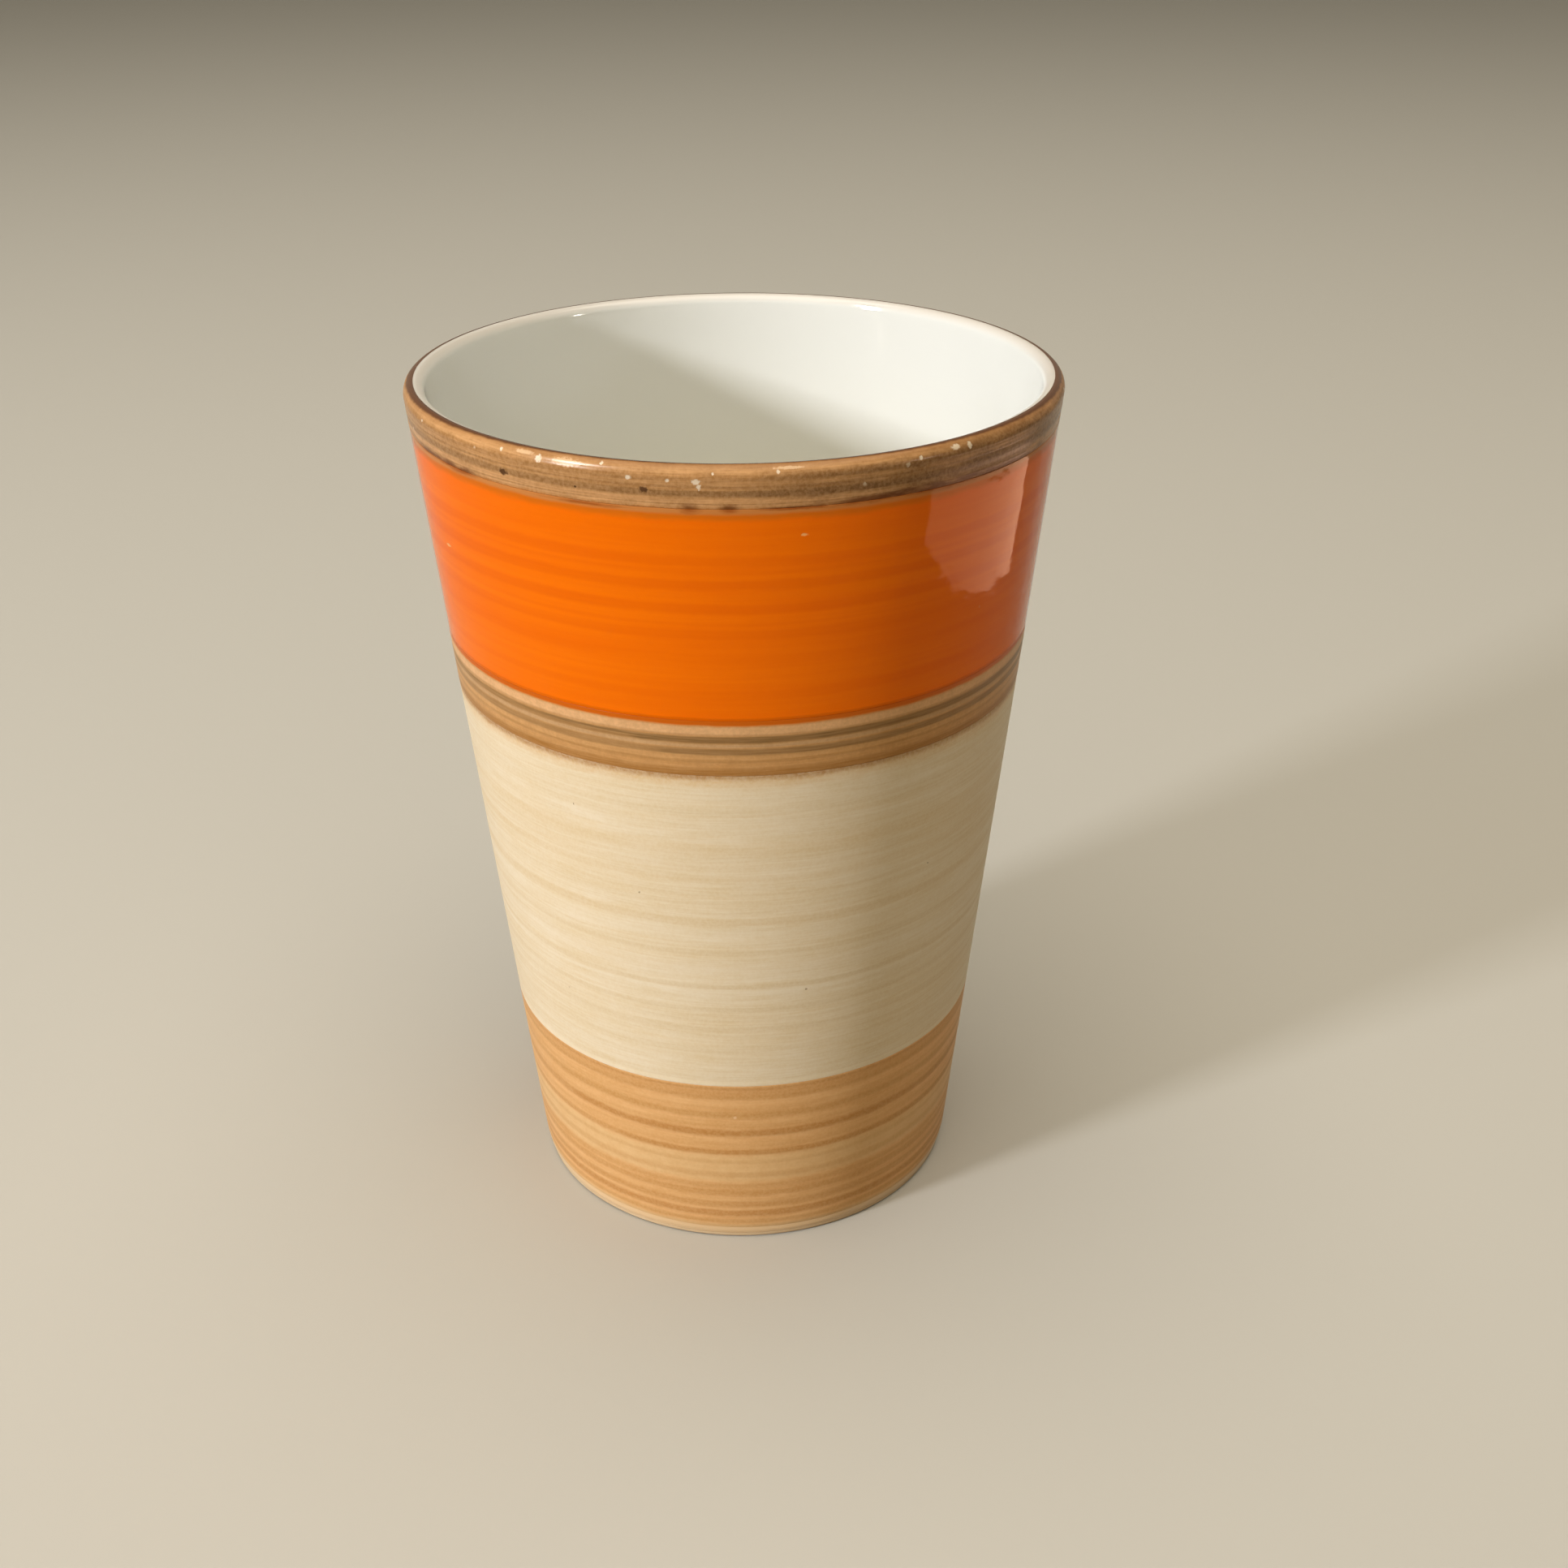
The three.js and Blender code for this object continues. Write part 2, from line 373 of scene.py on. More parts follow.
def thinned(distance):
    """The share of its full thickness that a coat has at a distance from its free edge."""
    return THINNEST_SHARE + (1 - THINNEST_SHARE) * smooth(distance / FEATHER)


def feathered_wall(low, beneath, thickness):
    """Points up the outer wall, over which a coat comes in from its free edge to its full thickness."""
    distances = [FEATHER * step / FEATHER_STEPS for step in range(FEATHER_STEPS)]
    return [
        (*outer_point(low + distance, beneath + thickness * thinned(distance)), thinned(distance))
        for distance in distances
    ]


def feathered_lip(end):
    """Points over the lip on the rim's paint, which thins out towards its end."""
    angles = [LIP_START + (end - LIP_START) * step / LIP_STEPS for step in range(LIP_STEPS + 1)]
    shares = [thinned((end - angle) * lip_radius) for angle in angles]
    return [
        (*on_circle(lip_centre, lip_radius + ENAMEL_THICKNESS * share, angle), share)
        for angle, share in zip(angles, shares)
    ]


def turned(section):
    """A closed coat, spun once round the Z axis from its section."""
    mesh = bmesh.new()
    settles = mesh.verts.layers.float.new("settles")
    ring_radius = mesh.verts.layers.float.new("ring_radius")
    corners = []
    for radius, height, share in section:
        corner = mesh.verts.new((radius * MM, 0, height * MM))
        corner[settles] = share
        corner[ring_radius] = radius * MM
        corners.append(corner)
    pairs = list(zip(corners, corners[1:]))
    if corners[0].co.x > 0:
        pairs.append((corners[-1], corners[0]))
    outline = [mesh.edges.new(pair) for pair in pairs]
    bmesh.ops.spin(
        mesh, geom=corners + outline, axis=(0, 0, 1), cent=(0, 0, 0), angle=math.tau,
        steps=SPIN_STEPS, use_merge=True,
    )
    bmesh.ops.remove_doubles(mesh, verts=mesh.verts, dist=SAME_POINT)
    bmesh.ops.subdivide_edges(
        mesh, edges=[edge for edge in mesh.edges if runs_round(edge, ring_radius)],
        cuts=CUTS_BETWEEN_STEPS, use_grid_fill=True,
    )
    for vert in mesh.verts:
        out = vert.co.xy.length
        if out > 0:
            vert.co.xy *= vert[ring_radius] / out
    bmesh.ops.recalc_face_normals(mesh, faces=mesh.faces)
    return mesh


def runs_round(edge, ring_radius):
    """Whether an edge lies on a ring, between two steps of the spin."""
    start, end = edge.verts
    apart = (start.co.z - end.co.z, start[ring_radius] - end[ring_radius])
    return all(abs(distance) < SAME_RING for distance in apart)


def soften(mesh, corners):
    """Rounds the rings that the given corners of the section have made."""
    def on_corner(vert):
        place = (vert.co.xy.length / MM, vert.co.z / MM)
        return any(math.dist(place, corner[:2]) < SAME_CORNER for corner in corners)

    on_rings = {vert for vert in mesh.verts if on_corner(vert)}
    rings = [edge for edge in mesh.edges if on_rings.issuperset(edge.verts)]
    bmesh.ops.bevel(
        mesh, geom=rings, offset=EDGE_SOFTENING * MM, segments=2, profile=0.5, affect="EDGES", material=-1
    )


def angle_of(vert):
    return math.atan2(vert.co.x, -vert.co.y)


def slide_up(vert, rise):
    """Moves a point up the cone of the outer wall."""
    angle = angle_of(vert)
    vert.co += Vector((math.sin(angle) * outer_slope, -math.cos(angle) * outer_slope, 1)) * rise * MM


def follow_brush(mesh, low, high):
    """Lets a band's two edges stray up and down round the beaker. Bands that meet share the same edge."""
    for vert in mesh.verts:
        share = min(1, max(0, (vert.co.z / MM - low) / (high - low)))
        angle = angle_of(vert)
        slide_up(vert, BAND_EDGE_WANDER * ((1 - share) * strayed(angle, low) + share * strayed(angle, high)))


def ridge_at(angle, height, lines):
    """How high the painted lines stand at a place on the wall."""
    ridge = 0.0
    for line in lines:
        away = abs(height - line.height - line.wander * strayed(angle, line.seed))
        if away < line.half + line.soft:
            turn = (angle - math.radians(line.start)) / math.tau % 1
            thinning = 1 - line.fade * (1 - smooth(turn / COMES_IN_OVER) * (1 - turn))
            ridge = max(ridge, line.ridge * smooth((line.half + line.soft - away) / line.soft) * thinning)
    return ridge


def settle(mesh, lines=()):
    """Sinks the exposed surface by its unevenness, and leaves the painted lines standing as ridges."""
    settles = mesh.verts.layers.float["settles"]
    mesh.normal_update()
    ridged = [line for line in lines if line.ridge]
    for vert in mesh.verts:
        if vert[settles] > 0:
            sink = UNEVEN_DEPTH * (1 + noise.noise(vert.co / (UNEVEN_LENGTH * MM))) / 2
            if ridged:
                sink += TALLEST_RIDGE - ridge_at(angle_of(vert), vert.co.z / MM, ridged)
            vert.co -= vert.normal * sink * vert[settles] * MM


def piece(mesh, name, node, material):
    """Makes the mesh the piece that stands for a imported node."""
    for face in mesh.faces:
        face.smooth = True
    data = bpy.data.meshes.new(name)
    mesh.to_mesh(data)
    mesh.free()
    made = bpy.data.objects.new(name, data)
    bpy.context.scene.collection.objects.link(made)
    data.materials.append(material)
    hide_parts(node)
    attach(made, "root")


def beneath_glaze():
    """The clay's surface where glaze covers it, from the foot up the wall, over the lip and down inside."""
    wall = [outer_point(height, ON_CLAY) for height in (GLAZE_LOW, CREAM_LOW, RIM_LOW)]
    return [*wall, *lip(ON_CLAY), *inside(ON_CLAY, FAR_APART, CORNER_STEPS // 2)]


def clay_body():
    """The clay. Only the foot ring shows, between the glaze of the recess and the glaze of the wall."""
    return turned(still([*recess(ON_CLAY), *foot_ring(), *beneath_glaze()]))


def white_glaze():
    """One skin of glaze from just above the foot, over the lip and across the floor."""
    cup = [*reversed(inside(ON_GLAZE, ON_INSIDE, CORNER_STEPS)), *reversed(lip(ON_GLAZE))]
    heights = (RIM_LOW, ORANGE_LOW, CREAM_LOW, FOOT_LOW + FEATHER, GLAZE_LOW + FEATHER)
    banded = [outer_point(height, ON_GLAZE) for height in heights]
    edge = feathered_wall(GLAZE_LOW, ON_CLAY, GLAZE_THICKNESS)
    mesh = turned([*settling(cup), *still(banded), *reversed(edge), *still(beneath_glaze())])
    settle(mesh)
    return mesh


def recess_glaze():
    """The glaze in the recess under the base."""
    mesh = turned([*settling(recess(ON_GLAZE)), *still(reversed(recess(ON_CLAY)))])
    settle(mesh)
    return mesh


def paint_end(angle):
    """Where the rim's paint ends over the lip, in radians of its round, at an angle round the beaker."""
    behind = smooth((1 - math.cos(angle)) * PAINT_END_STEEPNESS)
    end = PAINT_END + (PAINT_END_BEHIND - PAINT_END) * behind
    return math.radians(end + PAINT_END_STRAY * strayed(angle, PAINT_END_SEED))


def rim_band():
    """The paint of the rim, up the outside and over the lip, and less far over it behind.

    The layer from_end tells the material how far each point is from the paint's end, in mm.
    """
    nominal_end = math.radians(PAINT_END)
    well_away = 2 * lip_radius
    wall = outer_run(RIM_LOW, lip_height, ON_ENAMEL, ON_LINED_BAND)[:-1]
    beneath = [*reversed(lip(ON_GLAZE, nominal_end)), outer_point(RIM_LOW, ON_GLAZE)]
    mesh = turned([*settling(wall), *feathered_lip(nominal_end), *still(beneath)])
    soften(mesh, [wall[0]])
    from_end = mesh.verts.layers.float.new("from_end")
    for vert in mesh.verts:
        angle = angle_of(vert)
        across, up = vert.co.xy.length / MM - lip_centre[0], vert.co.z / MM - lip_height
        round_lip, reach = math.atan2(up, across), math.hypot(across, up)
        if round_lip < LIP_START + SAME_ANGLE:
            share = min(1, (vert.co.z / MM - RIM_LOW) / (lip_height - RIM_LOW))
            slide_up(vert, BAND_EDGE_WANDER * (1 - share) * strayed(angle, RIM_LOW))
            vert[from_end] = well_away
        else:
            end = paint_end(angle)
            moved = LIP_START + (round_lip - LIP_START) * (end - LIP_START) / (nominal_end - LIP_START)
            out, height = on_circle(lip_centre, reach, moved)
            vert.co = Vector((math.sin(angle) * out, -math.cos(angle) * out, height)) * MM
            vert[from_end] = (end - moved) * lip_radius
    settle(mesh, RIM_LINES)
    return mesh


def enamel_band(low, high, spacing, lines):
    """A band of enamel round the straight wall."""
    run = outer_run(low, high, ON_ENAMEL, spacing)
    mesh = turned([*settling(run), *still([outer_point(high, ON_GLAZE), outer_point(low, ON_GLAZE)])])
    soften(mesh, [run[0], run[-1]])
    follow_brush(mesh, low, high)
    settle(mesh, lines)
    return mesh


def foot_band():
    """The lowest band, which thins out to nothing towards the foot."""
    edge = feathered_wall(FOOT_LOW, ON_GLAZE, ENAMEL_THICKNESS)
    run = outer_run(FOOT_LOW + FEATHER, CREAM_LOW, ON_ENAMEL, ON_FOOT)
    beneath = [outer_point(CREAM_LOW, ON_GLAZE), outer_point(FOOT_LOW, ON_GLAZE)]
    mesh = turned([*edge, *settling(run), *still(beneath)])
    soften(mesh, [run[-1]])
    follow_brush(mesh, FOOT_LOW, CREAM_LOW)
    settle(mesh, FOOT_LINES)
    return mesh


# Node trees

def linear(colour):
    """A colour in 0 to 255 as linear red, green, blue and alpha."""
    def channel(value):
        share = value / 255
        return share / 12.92 if share <= 0.04045 else ((share + 0.055) / 1.055) ** 2.4

    return (*[channel(value) for value in colour], 1.0)


class Tree:
    """A node tree, with a short call for each kind of node that is used over and over."""

    def __init__(self, tree):
        self.nodes = tree.nodes
        self.links = tree.links

    def set(self, socket, value):
        """Links a socket into another, or gives it a value."""
        if isinstance(value, bpy.types.NodeSocket):
            self.links.new(value, socket)
        else:
            socket.default_value = value

    def node(self, kind, inputs=None, **settings):
        made = self.nodes.new(kind)
        for name, value in settings.items():
            setattr(made, name, value)
        for name, value in (inputs or {}).items():
            self.set(made.inputs[name], value)
        return made

    def group(self, tree, inputs):
        return self.node("ShaderNodeGroup", inputs, node_tree=tree).outputs

    def math(self, operation, *values):
        return self.node("ShaderNodeMath", dict(enumerate(values)), operation=operation).outputs[0]

    def vector(self, operation, *values):
        return self.node("ShaderNodeVectorMath", dict(enumerate(values)), operation=operation).outputs[0]

    def scaled(self, vector, scale):
        return self.node("ShaderNodeVectorMath", {0: vector, "Scale": scale}, operation="SCALE").outputs[0]

    def xyz(self, x=0.0, y=0.0, z=0.0):
        return self.node("ShaderNodeCombineXYZ", {"X": x, "Y": y, "Z": z}).outputs[0]

    def ramp(self, value, low, high):
        """A smooth step from 0 where the value is low to 1 where it is high."""
        inputs = {"Value": value, "From Min": low, "From Max": high}
        return self.node("ShaderNodeMapRange", inputs, interpolation_type="SMOOTHSTEP").outputs[0]

    def noise(self, vector, scale, detail=2.0, roughness=0.5):
        inputs = {"Vector": vector, "Scale": scale, "Detail": detail, "Roughness": roughness}
        return self.node("ShaderNodeTexNoise", inputs).outputs[0]

    def ragged(self, value, grain, depth):
        """A value moved up or down by grain, which changes nothing where it is 0.5."""
        return self.math("MULTIPLY_ADD", self.math("SUBTRACT", grain, 0.5), depth, value)

    # A Mix node takes the share at socket 0, numbers at 2 and 3, and colours at 6 and 7
    def mixed(self, share, under, over):
        """One colour laid over another."""
        return self.node("ShaderNodeMix", {0: share, 6: under, 7: over}, data_type="RGBA").outputs[2]

    def blended(self, share, under, over):
        """One number blended into another."""
        return self.node("ShaderNodeMix", {0: share, 2: under, 3: over}).outputs[0]


def effect(name, takes, floats, gives):
    """A new shader node group, its tree, the sockets that it takes and those that it gives."""
    made = bpy.data.node_groups.new(name, "ShaderNodeTree")
    for socket, kind in {**takes, **dict.fromkeys(floats, "Float")}.items():
        made.interface.new_socket(name=socket, in_out="INPUT", socket_type="NodeSocket" + kind)
    for socket, kind in gives.items():
        made.interface.new_socket(name=socket, in_out="OUTPUT", socket_type="NodeSocket" + kind)
    tree = Tree(made)
    return made, tree, tree.node("NodeGroupInput").outputs, tree.node("NodeGroupOutput").inputs


def place_effect():
    """Where a point is on the beaker: the way out from the axis, the angle round it and the height in mm."""
    gives = {"Way Out": "Vector", "Angle": "Float", "Height": "Float"}
    made, tree, given, out = effect("beaker_place", {"Position": "Vector"}, [], gives)
    parts = tree.node("ShaderNodeSeparateXYZ", {0: given["Position"]}).outputs
    tree.set(out["Way Out"], tree.vector("NORMALIZE", tree.xyz(parts["X"], parts["Y"])))
    tree.set(out["Angle"], tree.math("ARCTAN2", parts["X"], tree.math("MULTIPLY", parts["Y"], -1.0)))
    tree.set(out["Height"], tree.math("DIVIDE", parts["Z"], MM))
    return made


def line_effect():
    """A Line as a mask. It strays as strayed() says, and its edges are ragged."""
    floats = ["Height", "Angle", "Line Height", "Half Width", "Softness", "Wander", "Seed", "Start", "Fade"]
    made, tree, given, out = effect("painted_line", {"Way Out": "Vector"}, floats, {"Mask": "Float"})
    angle, seed = given["Angle"], given["Seed"]
    waves = 0.0
    for turns, seeds, share in WAVES:
        wave = tree.math("SINE", tree.math("MULTIPLY_ADD", angle, turns, tree.math("MULTIPLY", seed, seeds)))
        waves = tree.math("MULTIPLY_ADD", wave, share, waves)
    stray = tree.math("DIVIDE", waves, ALL_WAVES)
    centre = tree.math("MULTIPLY_ADD", given["Wander"], stray, given["Line Height"])
    away = tree.math("ABSOLUTE", tree.math("SUBTRACT", given["Height"], centre))
    lift = tree.xyz(z=tree.math("MULTIPLY_ADD", given["Height"], 0.7, seed))
    grain = tree.noise(tree.vector("ADD", tree.scaled(given["Way Out"], 9.0), lift), 1.0, 3.0, 0.6)
    away = tree.ragged(away, grain, tree.math("MULTIPLY", given["Softness"], 0.9))
    across = tree.ramp(away, tree.math("ADD", given["Half Width"], given["Softness"]), given["Half Width"])
    turn = tree.math("FRACT", tree.math("DIVIDE", tree.math("SUBTRACT", angle, given["Start"]), math.tau))
    left = tree.math("MULTIPLY", tree.ramp(turn, 0.0, COMES_IN_OVER), tree.math("SUBTRACT", 1.0, turn))
    lost = tree.math("MULTIPLY", given["Fade"], tree.math("SUBTRACT", 1.0, left))
    tree.set(out["Mask"], tree.math("MULTIPLY", across, tree.math("SUBTRACT", 1.0, lost)))
    return made


def streaks_effect():
    """Streaks that a brush leaves round the beaker, from 0 to 1."""
    floats = ["Height", "Streaks Per mm", "Turns", "Seed"]
    made, tree, given, out = effect("brush_streaks", {"Way Out": "Vector"}, floats, {"Mask": "Float"})
    sway = tree.noise(tree.vector("ADD", given["Way Out"], given["Seed"]), 1.3, 1.0)
    height = tree.math("MULTIPLY_ADD", sway, 0.5, given["Height"])
    lift = tree.xyz(z=tree.math("MULTIPLY_ADD", height, given["Streaks Per mm"], given["Seed"]))
    spread = tree.vector("ADD", tree.scaled(given["Way Out"], given["Turns"]), lift)
    tree.set(out["Mask"], tree.ramp(tree.noise(spread, 1.0, 4.0, 0.62), 0.28, 0.72))
    return made


# The radius in mm at which a mark's width is measured
MARK_RADIUS = 38.0


def mark_effect():
    """One mark with ragged edges, at an angle and a height."""
    place = ["Height", "Angle", "At Angle", "At Height", "Half Width", "Half Height"]
    floats = [*place, "Grain", "Raggedness", "Softness"]
    made, tree, given, out = effect("mark", {}, floats, {"Mask": "Float"})
    along = tree.math("MULTIPLY", tree.math("SUBTRACT", given["Angle"], given["At Angle"]), MARK_RADIUS)
    along = tree.math("DIVIDE", along, given["Half Width"])
    up = tree.math("DIVIDE", tree.math("SUBTRACT", given["Height"], given["At Height"]), given["Half Height"])
    squares = tree.math("MULTIPLY_ADD", along, along, tree.math("MULTIPLY", up, up))
    away = tree.ragged(tree.math("SQRT", squares), given["Grain"], given["Raggedness"])
    outer, inner = tree.math("ADD", 1.0, given["Softness"]), tree.math("SUBTRACT", 1.0, given["Softness"])
    tree.set(out["Mask"], tree.ramp(away, outer, inner))
    return made


def flecks_effect():
    """Flecks or pits strewn over a surface, one in a share of the cells of a pattern."""
    floats = ["Grain", "Per Metre", "Share", "Size"]
    made, tree, given, out = effect("strewn_flecks", {"Position": "Vector"}, floats, {"Mask": "Float"})
    inputs = {"Vector": given["Position"], "Scale": given["Per Metre"]}
    cells = tree.node("ShaderNodeTexVoronoi", inputs).outputs
    chance = tree.node("ShaderNodeSeparateColor", {0: cells["Color"]}).outputs
    size = tree.math("MULTIPLY", given["Size"], tree.math("ADD", 0.4, chance["Green"]))
    away = tree.ragged(cells["Distance"], given["Grain"], size)
    within = tree.ramp(away, size, tree.math("MULTIPLY", size, 0.6))
    chosen = tree.math("LESS_THAN", chance["Red"], given["Share"])
    tree.set(out["Mask"], tree.math("MULTIPLY", within, chosen))
    return made


def mottle_effect():
    """The uneven depth of thin paint, as soft patches from 0 to 1."""
    made, tree, given, out = effect("mottle", {"Position": "Vector"}, ["Per Metre"], {"Mask": "Float"})
    patches = tree.noise(given["Position"], given["Per Metre"], 3.0, 0.6)
    tree.set(out["Mask"], tree.ramp(patches, 0.32, 0.68))
    return made


def relief_effect():
    """The height in mm of a surface that rises and falls by a depth."""
    takes, floats = {"Position": "Vector"}, ["Per Metre", "Depth"]
    made, tree, given, out = effect("relief", takes, floats, {"Height": "Float"})
    hills = tree.noise(given["Position"], given["Per Metre"], 1.0)
    tree.set(out["Height"], tree.math("MULTIPLY", hills, given["Depth"]))
    return made


PLACE = place_effect()
LINE = line_effect()
STREAKS = streaks_effect()
MARK = mark_effect()
FLECKS = flecks_effect()
MOTTLE = mottle_effect()
RELIEF = relief_effect()


# How often these repeat per metre: the grain that breaks marks up, the grain that the brush dragged along,
# and the slow swell and fine peel of a skin
GRAIN_PER_METRE = 3000.0
DRAGGED_PER_METRE = (300.0, 300.0, 1300.0)
SWELL_PER_METRE = 160.0
PEEL_PER_METRE = 1400.0


class Coat:
    """A fired coat's material. Each call lays something over what is there already, as the painter did."""

    def __init__(self, name, colour, roughness, ior):
        self.material = bpy.data.materials.new(name)
        self.material.use_nodes = True
        self.material.node_tree.nodes.clear()
        self.tree = Tree(self.material.node_tree)
        self.shader = self.tree.node("ShaderNodeBsdfPrincipled", {"IOR": ior})
        self.colour = linear(colour)
        self.roughness = roughness
        self.height = 0.0
        position = self.tree.node("ShaderNodeTexCoord").outputs["Object"]
        place = self.tree.group(PLACE, {"Position": position})
        self.known = {"Position": position, "Grain": self.tree.noise(position, GRAIN_PER_METRE, 2.0, 0.6)}
        self.known.update({name: place[name] for name in ("Way Out", "Angle", "Height")})

    def mask(self, effect_tree, inputs):
        """The mask of an effect, which is told where the point is by those known sockets that it takes."""
        takes = [item.name for item in effect_tree.interface.items_tree if item.in_out == "INPUT"]
        told = {name: self.known[name] for name in takes if name in self.known}
        return self.tree.group(effect_tree, {**told, **inputs})["Mask"]

    def lay(self, mask, colour, strength=1.0, ridge=0.0, roughness=None):
        """Lays a colour where the mask is, and raises or pits the surface there by ridge, in mm."""
        share = self.tree.math("MULTIPLY", mask, strength)
        self.colour = self.tree.mixed(share, self.colour, linear(colour))
        if ridge:
            self.height = self.tree.math("MULTIPLY_ADD", share, ridge, self.height)
        if roughness is not None:
            self.roughness = self.tree.blended(share, self.roughness, roughness)

    def relief(self, per_metre, depth):
        inputs = {"Position": self.known["Position"], "Per Metre": per_metre, "Depth": depth}
        self.height = self.tree.math("ADD", self.height, self.tree.group(RELIEF, inputs)["Height"])

    def skin(self, swell, peel):
        """The slow swell and fine peel of a fired surface, in mm."""
        self.relief(SWELL_PER_METRE, swell)
        self.relief(PEEL_PER_METRE, peel)

    def streaks(self, per_mm, turns, seed, *laid, **options):
        inputs = {"Streaks Per mm": per_mm, "Turns": turns, "Seed": seed}
        self.lay(self.mask(STREAKS, inputs), *laid, **options)

    def mottle(self, per_metre, *laid, **options):
        self.lay(self.mask(MOTTLE, {"Per Metre": per_metre}), *laid, **options)

    def flecks(self, per_metre, share, size, *laid, **options):
        inputs = {"Per Metre": per_metre, "Share": share, "Size": size}
        self.lay(self.mask(FLECKS, inputs), *laid, **options)

    def marks(self, places, *laid, ragged=1.8, soft=0.35, grain=None, **options):
        """Single marks, each placed by its angle in degrees, height, half width and half height in mm."""
        for angle, height, half_width, half_height in places:
            inputs = {
                "At Angle": math.radians(angle), "At Height": height,
                "Half Width": half_width, "Half Height": half_height,
                "Grain": grain or self.known["Grain"], "Raggedness": ragged, "Softness": soft,
            }
            self.lay(self.mask(MARK, inputs), *laid, **options)

    def smudges(self, places, *laid, **options):
        """Soft marks that the brush dragged along, broken up more than single marks are."""
        dragged = self.tree.vector("MULTIPLY", self.known["Position"], DRAGGED_PER_METRE)
        grain = self.tree.noise(dragged, 1.0, 4.0, 0.65)
        self.marks(places, *laid, ragged=2.8, soft=0.95, grain=grain, **options)

    def lines(self, lines):
        """The painted lines, in the order in which they are listed."""
        for line in lines:
            inputs = {
                "Line Height": line.height, "Half Width": line.half, "Softness": line.soft,
                "Wander": line.wander, "Seed": line.seed,
                "Start": math.radians(line.start), "Fade": line.fade,
            }
            self.lay(self.mask(LINE, inputs), line.colour, line.strength)

    def finish(self):
        """Wires the colour, roughness and height into the shader."""
        self.tree.set(self.shader.inputs["Base Color"], self.colour)
        self.tree.set(self.shader.inputs["Roughness"], self.roughness)
        bump = self.tree.node("ShaderNodeBump", {"Height": self.height, "Distance": MM})
        self.tree.set(self.shader.inputs["Normal"], bump.outputs[0])
        self.tree.node("ShaderNodeOutputMaterial", {"Surface": self.shader.outputs[0]})
        return self.material


# Materials. Marks are placed by angle, height, half width and half height.

WORN_FLECKS = [
    (-39.6, 107.3, 0.16, 0.20), (-32.0, 107.2, 0.36, 0.32), (-21.0, 107.6, 0.18, 0.14),
    (-16.6, 106.5, 0.26, 0.24), (-10.5, 106.4, 0.18, 0.18), (-6.2, 106.35, 0.38, 0.28),
    (-5.7, 105.8, 0.20, 0.30), (-3.6, 107.2, 0.14, 0.14), (6.3, 107.3, 0.16, 0.20),
    (29.7, 107.1, 0.20, 0.22), (36.6, 107.4, 0.50, 0.26), (39.6, 107.2, 0.28, 0.30),
    (-63.0, 106.9, 0.18, 0.14), (78.0, 107.0, 0.26, 0.18), (121.0, 107.3, 0.30, 0.20),
    (158.0, 106.8, 0.22, 0.16), (-128.0, 107.2, 0.30, 0.18), (-97.0, 107.5, 0.20, 0.14),
]
# Painted highlights: pale patches over the lip's top where the lamps glint on it, sunk a little
LIP_PAINTED_HIGHLIGHTS = [(-27.0, 107.3, 1.60, 0.34), (-35.0, 107.55, 1.20, 0.16), (8.0, 107.6, 1.40, 0.12)]
DARK_SPECKS = [
    (-39.5, 104.85, 0.52, 0.32), (-14.2, 105.30, 0.44, 0.30), (-25.6, 104.8, 0.16, 0.12),
    (97.0, 104.6, 0.20, 0.14), (-150.0, 105.3, 0.24, 0.14),
]
DARK_UNDER_RIM = [
    (-60.0, 103.56, 6.50, 0.30), (-50.5, 103.25, 2.20, 0.32), (-24.0, 103.10, 3.50, 0.16),
    (-7.4, 103.36, 0.80, 0.42), (-1.2, 103.42, 0.70, 0.34), (9.0, 103.30, 2.50, 0.16),
    (20.0, 103.50, 4.50, 0.36), (34.0, 103.54, 6.50, 0.40), (50.0, 103.56, 6.00, 0.30),
    (92.0, 103.50, 9.00, 0.30), (130.0, 103.40, 5.00, 0.26), (-110.0, 103.50, 9.00, 0.30),
    (-158.0, 103.40, 6.00, 0.24), (172.0, 103.35, 4.00, 0.28),
]
# Dark grey-brown patches on the rim, all on its right side, from 12 to 74 degrees round
RIGHT_SIDE_DARK_PATCHES = [
    (12.0, 105.0, 6.00, 0.50), (28.0, 104.95, 9.00, 0.80), (48.0, 104.9, 8.00, 0.75),
    (44.0, 104.6, 9.00, 0.85), (20.0, 106.8, 8.00, 0.36), (36.0, 106.6, 8.00, 0.50),
    (62.0, 105.8, 8.00, 1.10), (48.0, 107.3, 9.00, 0.50), (74.0, 107.4, 9.00, 0.60),
]
ORANGE_CHIPS = [(-61.0, 92.5, 0.60, 0.16), (10.5, 100.2, 0.34, 0.16)]
FOOT_CHIPS = [(-2.5, 20.7, 0.28, 0.22), (64.0, 9.4, 0.20, 0.16)]
PINHOLES = [
    (-34.0, 64.5, 0.10, 0.14), (-21.0, 54.1, 0.10, 0.12), (13.5, 40.3, 0.16, 0.14),
    (41.6, 54.0, 0.12, 0.10), (-88.0, 44.0, 0.12, 0.12), (112.0, 60.0, 0.12, 0.14),
    (165.0, 36.0, 0.10, 0.12), (-140.0, 50.0, 0.14, 0.12),
]

# Where the rim's paint darkens towards its end, and the dark line along its end, all in mm from the end. The
# line is partly pooled paint and partly painted shade of the lip's inner edge, widest at the two sides
DARKENS_OVER = (1.9, 0.4)
POOL_AND_SHADE_WIDTH = 0.20
POOL_AND_SHADE_WIDER_AT_SIDES = 0.45
POOL_AND_SHADE_SOFTNESS = 0.35

# The heights over which the white glaze takes on its tints: down in the cup, at the foot and on the lip,
# where the tint is partly painted shade
CUP_TINT = (104.0, 50.0)
FOOT_TINT = (4.0, 2.6)
LIP_STAIN_AND_SHADE = (HEIGHT - 1.2, HEIGHT - 0.2)


